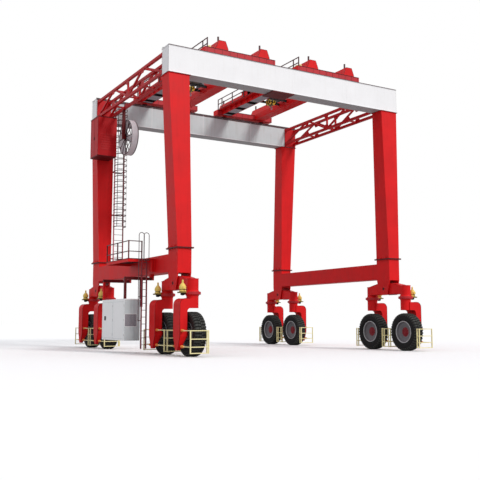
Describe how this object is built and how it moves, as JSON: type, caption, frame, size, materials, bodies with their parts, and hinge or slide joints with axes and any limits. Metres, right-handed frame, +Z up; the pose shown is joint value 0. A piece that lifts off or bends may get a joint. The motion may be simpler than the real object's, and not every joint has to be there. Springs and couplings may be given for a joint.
{
  "type": "rubber tyred gantry crane",
  "caption": "Rubber tyred gantry crane: portal frame on steered wheels, with hoist trolleys on twin girders, end trusses, ladders and a power unit.",
  "frame": {"origin": "on the ground under the middle of the crane's bounding box", "axes": "+X along the main girders from the power unit's side to the other, +Y along the sills away from the near girder, +Z up"},
  "size_m": [16.04, 16.65, 16.77],
  "materials": {
    "crane_red": "satin paint",
    "girder_paint": "satin paint",
    "unit_paint": "satin paint",
    "guard_yellow": "satin paint",
    "motor_yellow": "satin paint",
    "hook_yellow": "satin paint",
    "machinery_grey": "satin paint",
    "reel_metal": "satin paint",
    "railing_grey": "satin paint",
    "rim_grey": "satin paint",
    "rope_steel": "greased wire",
    "tyre": "matt rubber"
  },
  "bodies": {
    "portal": {"girders": "girder_paint", "splice_plate": "crane_red", "legs": "crane_red", "sills": "crane_red", "end_trusses": "crane_red", "access_platform": "crane_red", "foot_ladder": "railing_grey", "caged_ladder": "railing_grey", "power_unit": "unit_paint", "control_cabinet": "crane_red"},
    "reel": {"cable_reel": "reel_metal"},
    "trolley_left": {"trolley_left": "crane_red", "hoist_left": "machinery_grey"},
    "hook_left": {"hook_left": "hook_yellow", "ropes_left": "rope_steel"},
    "balance_left_near": {"balance_beam_left_near": "crane_red", "slew_motors_left_near": "motor_yellow"},
    "balance_left_far": {"balance_beam_left_far": "crane_red", "slew_motors_left_far": "motor_yellow"},
    "fork_left_1": {"fork_left_1": "crane_red", "guard_left_1": "guard_yellow"},
    "wheel_left_1": {"tyre_left_1": "tyre", "rim_left_1": "rim_grey"},
    "fork_left_2": {"fork_left_2": "crane_red", "guard_left_2": "guard_yellow"},
    "wheel_left_2": {"tyre_left_2": "tyre", "rim_left_2": "rim_grey"},
    "fork_left_3": {"fork_left_3": "crane_red", "guard_left_3": "guard_yellow"},
    "wheel_left_3": {"tyre_left_3": "tyre", "rim_left_3": "rim_grey"},
    "fork_left_4": {"fork_left_4": "crane_red", "guard_left_4": "guard_yellow"},
    "wheel_left_4": {"tyre_left_4": "tyre", "rim_left_4": "rim_grey"},
    "trolley_right": {"trolley_right": "crane_red", "hoist_right": "machinery_grey"},
    "hook_right": {"hook_right": "hook_yellow", "ropes_right": "rope_steel"},
    "balance_right_near": {"balance_beam_right_near": "crane_red", "slew_motors_right_near": "motor_yellow"},
    "balance_right_far": {"balance_beam_right_far": "crane_red", "slew_motors_right_far": "motor_yellow"},
    "fork_right_1": {"fork_right_1": "crane_red", "guard_right_1": "guard_yellow"},
    "wheel_right_1": {"tyre_right_1": "tyre", "rim_right_1": "rim_grey"},
    "fork_right_2": {"fork_right_2": "crane_red", "guard_right_2": "guard_yellow"},
    "wheel_right_2": {"tyre_right_2": "tyre", "rim_right_2": "rim_grey"},
    "fork_right_3": {"fork_right_3": "crane_red", "guard_right_3": "guard_yellow"},
    "wheel_right_3": {"tyre_right_3": "tyre", "rim_right_3": "rim_grey"},
    "fork_right_4": {"fork_right_4": "crane_red", "guard_right_4": "guard_yellow"},
    "wheel_right_4": {"tyre_right_4": "tyre", "rim_right_4": "rim_grey"}
  },
  "joints": [
    {"name": "reel_turn", "type": "hinge", "parent": "portal", "child": "reel", "pos_m": [-5.88, 2.4, 12.6], "axis": [1, 0, 0], "continuous": true},
    {"name": "trolley_left_travel", "type": "slide", "parent": "portal", "child": "trolley_left", "axis": [1, 0, 0], "range_m": [-2, 0.75]},
    {"name": "hook_left_hoist", "type": "slide", "parent": "trolley_left", "child": "hook_left", "axis": [0, 0, 1], "range_m": [-10, 0], "deforming": ["ropes_left"]},
    {"name": "balance_left_near_rock", "type": "hinge", "parent": "portal", "child": "balance_left_near", "pos_m": [-6.25, -5.62, 3.51], "axis": [1, 0, 0], "range_deg": [-2.5, 2.5]},
    {"name": "balance_left_far_rock", "type": "hinge", "parent": "portal", "child": "balance_left_far", "pos_m": [-6.25, 5.62, 3.51], "axis": [1, 0, 0], "range_deg": [-2.5, 2.5]},
    {"name": "steer_left_1", "type": "hinge", "parent": "balance_left_near", "child": "fork_left_1", "pos_m": [-6.25, -7.05, 2.975], "axis": [0, 0, 1], "range_deg": [-90, 0]},
    {"name": "roll_left_1", "type": "hinge", "parent": "fork_left_1", "child": "wheel_left_1", "pos_m": [-6.28, -7.05, 1.05], "axis": [1, 0, 0], "continuous": true},
    {"name": "steer_left_2", "type": "hinge", "parent": "balance_left_near", "child": "fork_left_2", "pos_m": [-6.25, -4.19, 2.975], "axis": [0, 0, 1], "range_deg": [-90, 0]},
    {"name": "roll_left_2", "type": "hinge", "parent": "fork_left_2", "child": "wheel_left_2", "pos_m": [-6.28, -4.19, 1.05], "axis": [1, 0, 0], "continuous": true},
    {"name": "steer_left_3", "type": "hinge", "parent": "balance_left_far", "child": "fork_left_3", "pos_m": [-6.25, 4.19, 2.975], "axis": [0, 0, 1], "range_deg": [-90, 0]},
    {"name": "roll_left_3", "type": "hinge", "parent": "fork_left_3", "child": "wheel_left_3", "pos_m": [-6.28, 4.19, 1.05], "axis": [1, 0, 0], "continuous": true},
    {"name": "steer_left_4", "type": "hinge", "parent": "balance_left_far", "child": "fork_left_4", "pos_m": [-6.25, 7.05, 2.975], "axis": [0, 0, 1], "range_deg": [-90, 0]},
    {"name": "roll_left_4", "type": "hinge", "parent": "fork_left_4", "child": "wheel_left_4", "pos_m": [-6.28, 7.05, 1.05], "axis": [1, 0, 0], "continuous": true},
    {"name": "trolley_right_travel", "type": "slide", "parent": "portal", "child": "trolley_right", "axis": [1, 0, 0], "range_m": [-0.75, 2]},
    {"name": "hook_right_hoist", "type": "slide", "parent": "trolley_right", "child": "hook_right", "axis": [0, 0, 1], "range_m": [-10, 0], "deforming": ["ropes_right"]},
    {"name": "balance_right_near_rock", "type": "hinge", "parent": "portal", "child": "balance_right_near", "pos_m": [7.19, -5.62, 3.51], "axis": [1, 0, 0], "range_deg": [-2.5, 2.5]},
    {"name": "balance_right_far_rock", "type": "hinge", "parent": "portal", "child": "balance_right_far", "pos_m": [7.19, 5.62, 3.51], "axis": [1, 0, 0], "range_deg": [-2.5, 2.5]},
    {"name": "steer_right_1", "type": "hinge", "parent": "balance_right_near", "child": "fork_right_1", "pos_m": [7.19, -7.05, 2.975], "axis": [0, 0, 1], "range_deg": [0, 90]},
    {"name": "roll_right_1", "type": "hinge", "parent": "fork_right_1", "child": "wheel_right_1", "pos_m": [7.22, -7.05, 1.05], "axis": [1, 0, 0], "continuous": true},
    {"name": "steer_right_2", "type": "hinge", "parent": "balance_right_near", "child": "fork_right_2", "pos_m": [7.19, -4.19, 2.975], "axis": [0, 0, 1], "range_deg": [0, 90]},
    {"name": "roll_right_2", "type": "hinge", "parent": "fork_right_2", "child": "wheel_right_2", "pos_m": [7.22, -4.19, 1.05], "axis": [1, 0, 0], "continuous": true},
    {"name": "steer_right_3", "type": "hinge", "parent": "balance_right_far", "child": "fork_right_3", "pos_m": [7.19, 4.19, 2.975], "axis": [0, 0, 1], "range_deg": [0, 90]},
    {"name": "roll_right_3", "type": "hinge", "parent": "fork_right_3", "child": "wheel_right_3", "pos_m": [7.22, 4.19, 1.05], "axis": [1, 0, 0], "continuous": true},
    {"name": "steer_right_4", "type": "hinge", "parent": "balance_right_far", "child": "fork_right_4", "pos_m": [7.19, 7.05, 2.975], "axis": [0, 0, 1], "range_deg": [0, 90]},
    {"name": "roll_right_4", "type": "hinge", "parent": "fork_right_4", "child": "wheel_right_4", "pos_m": [7.22, 7.05, 1.05], "axis": [1, 0, 0], "continuous": true}
  ]
}
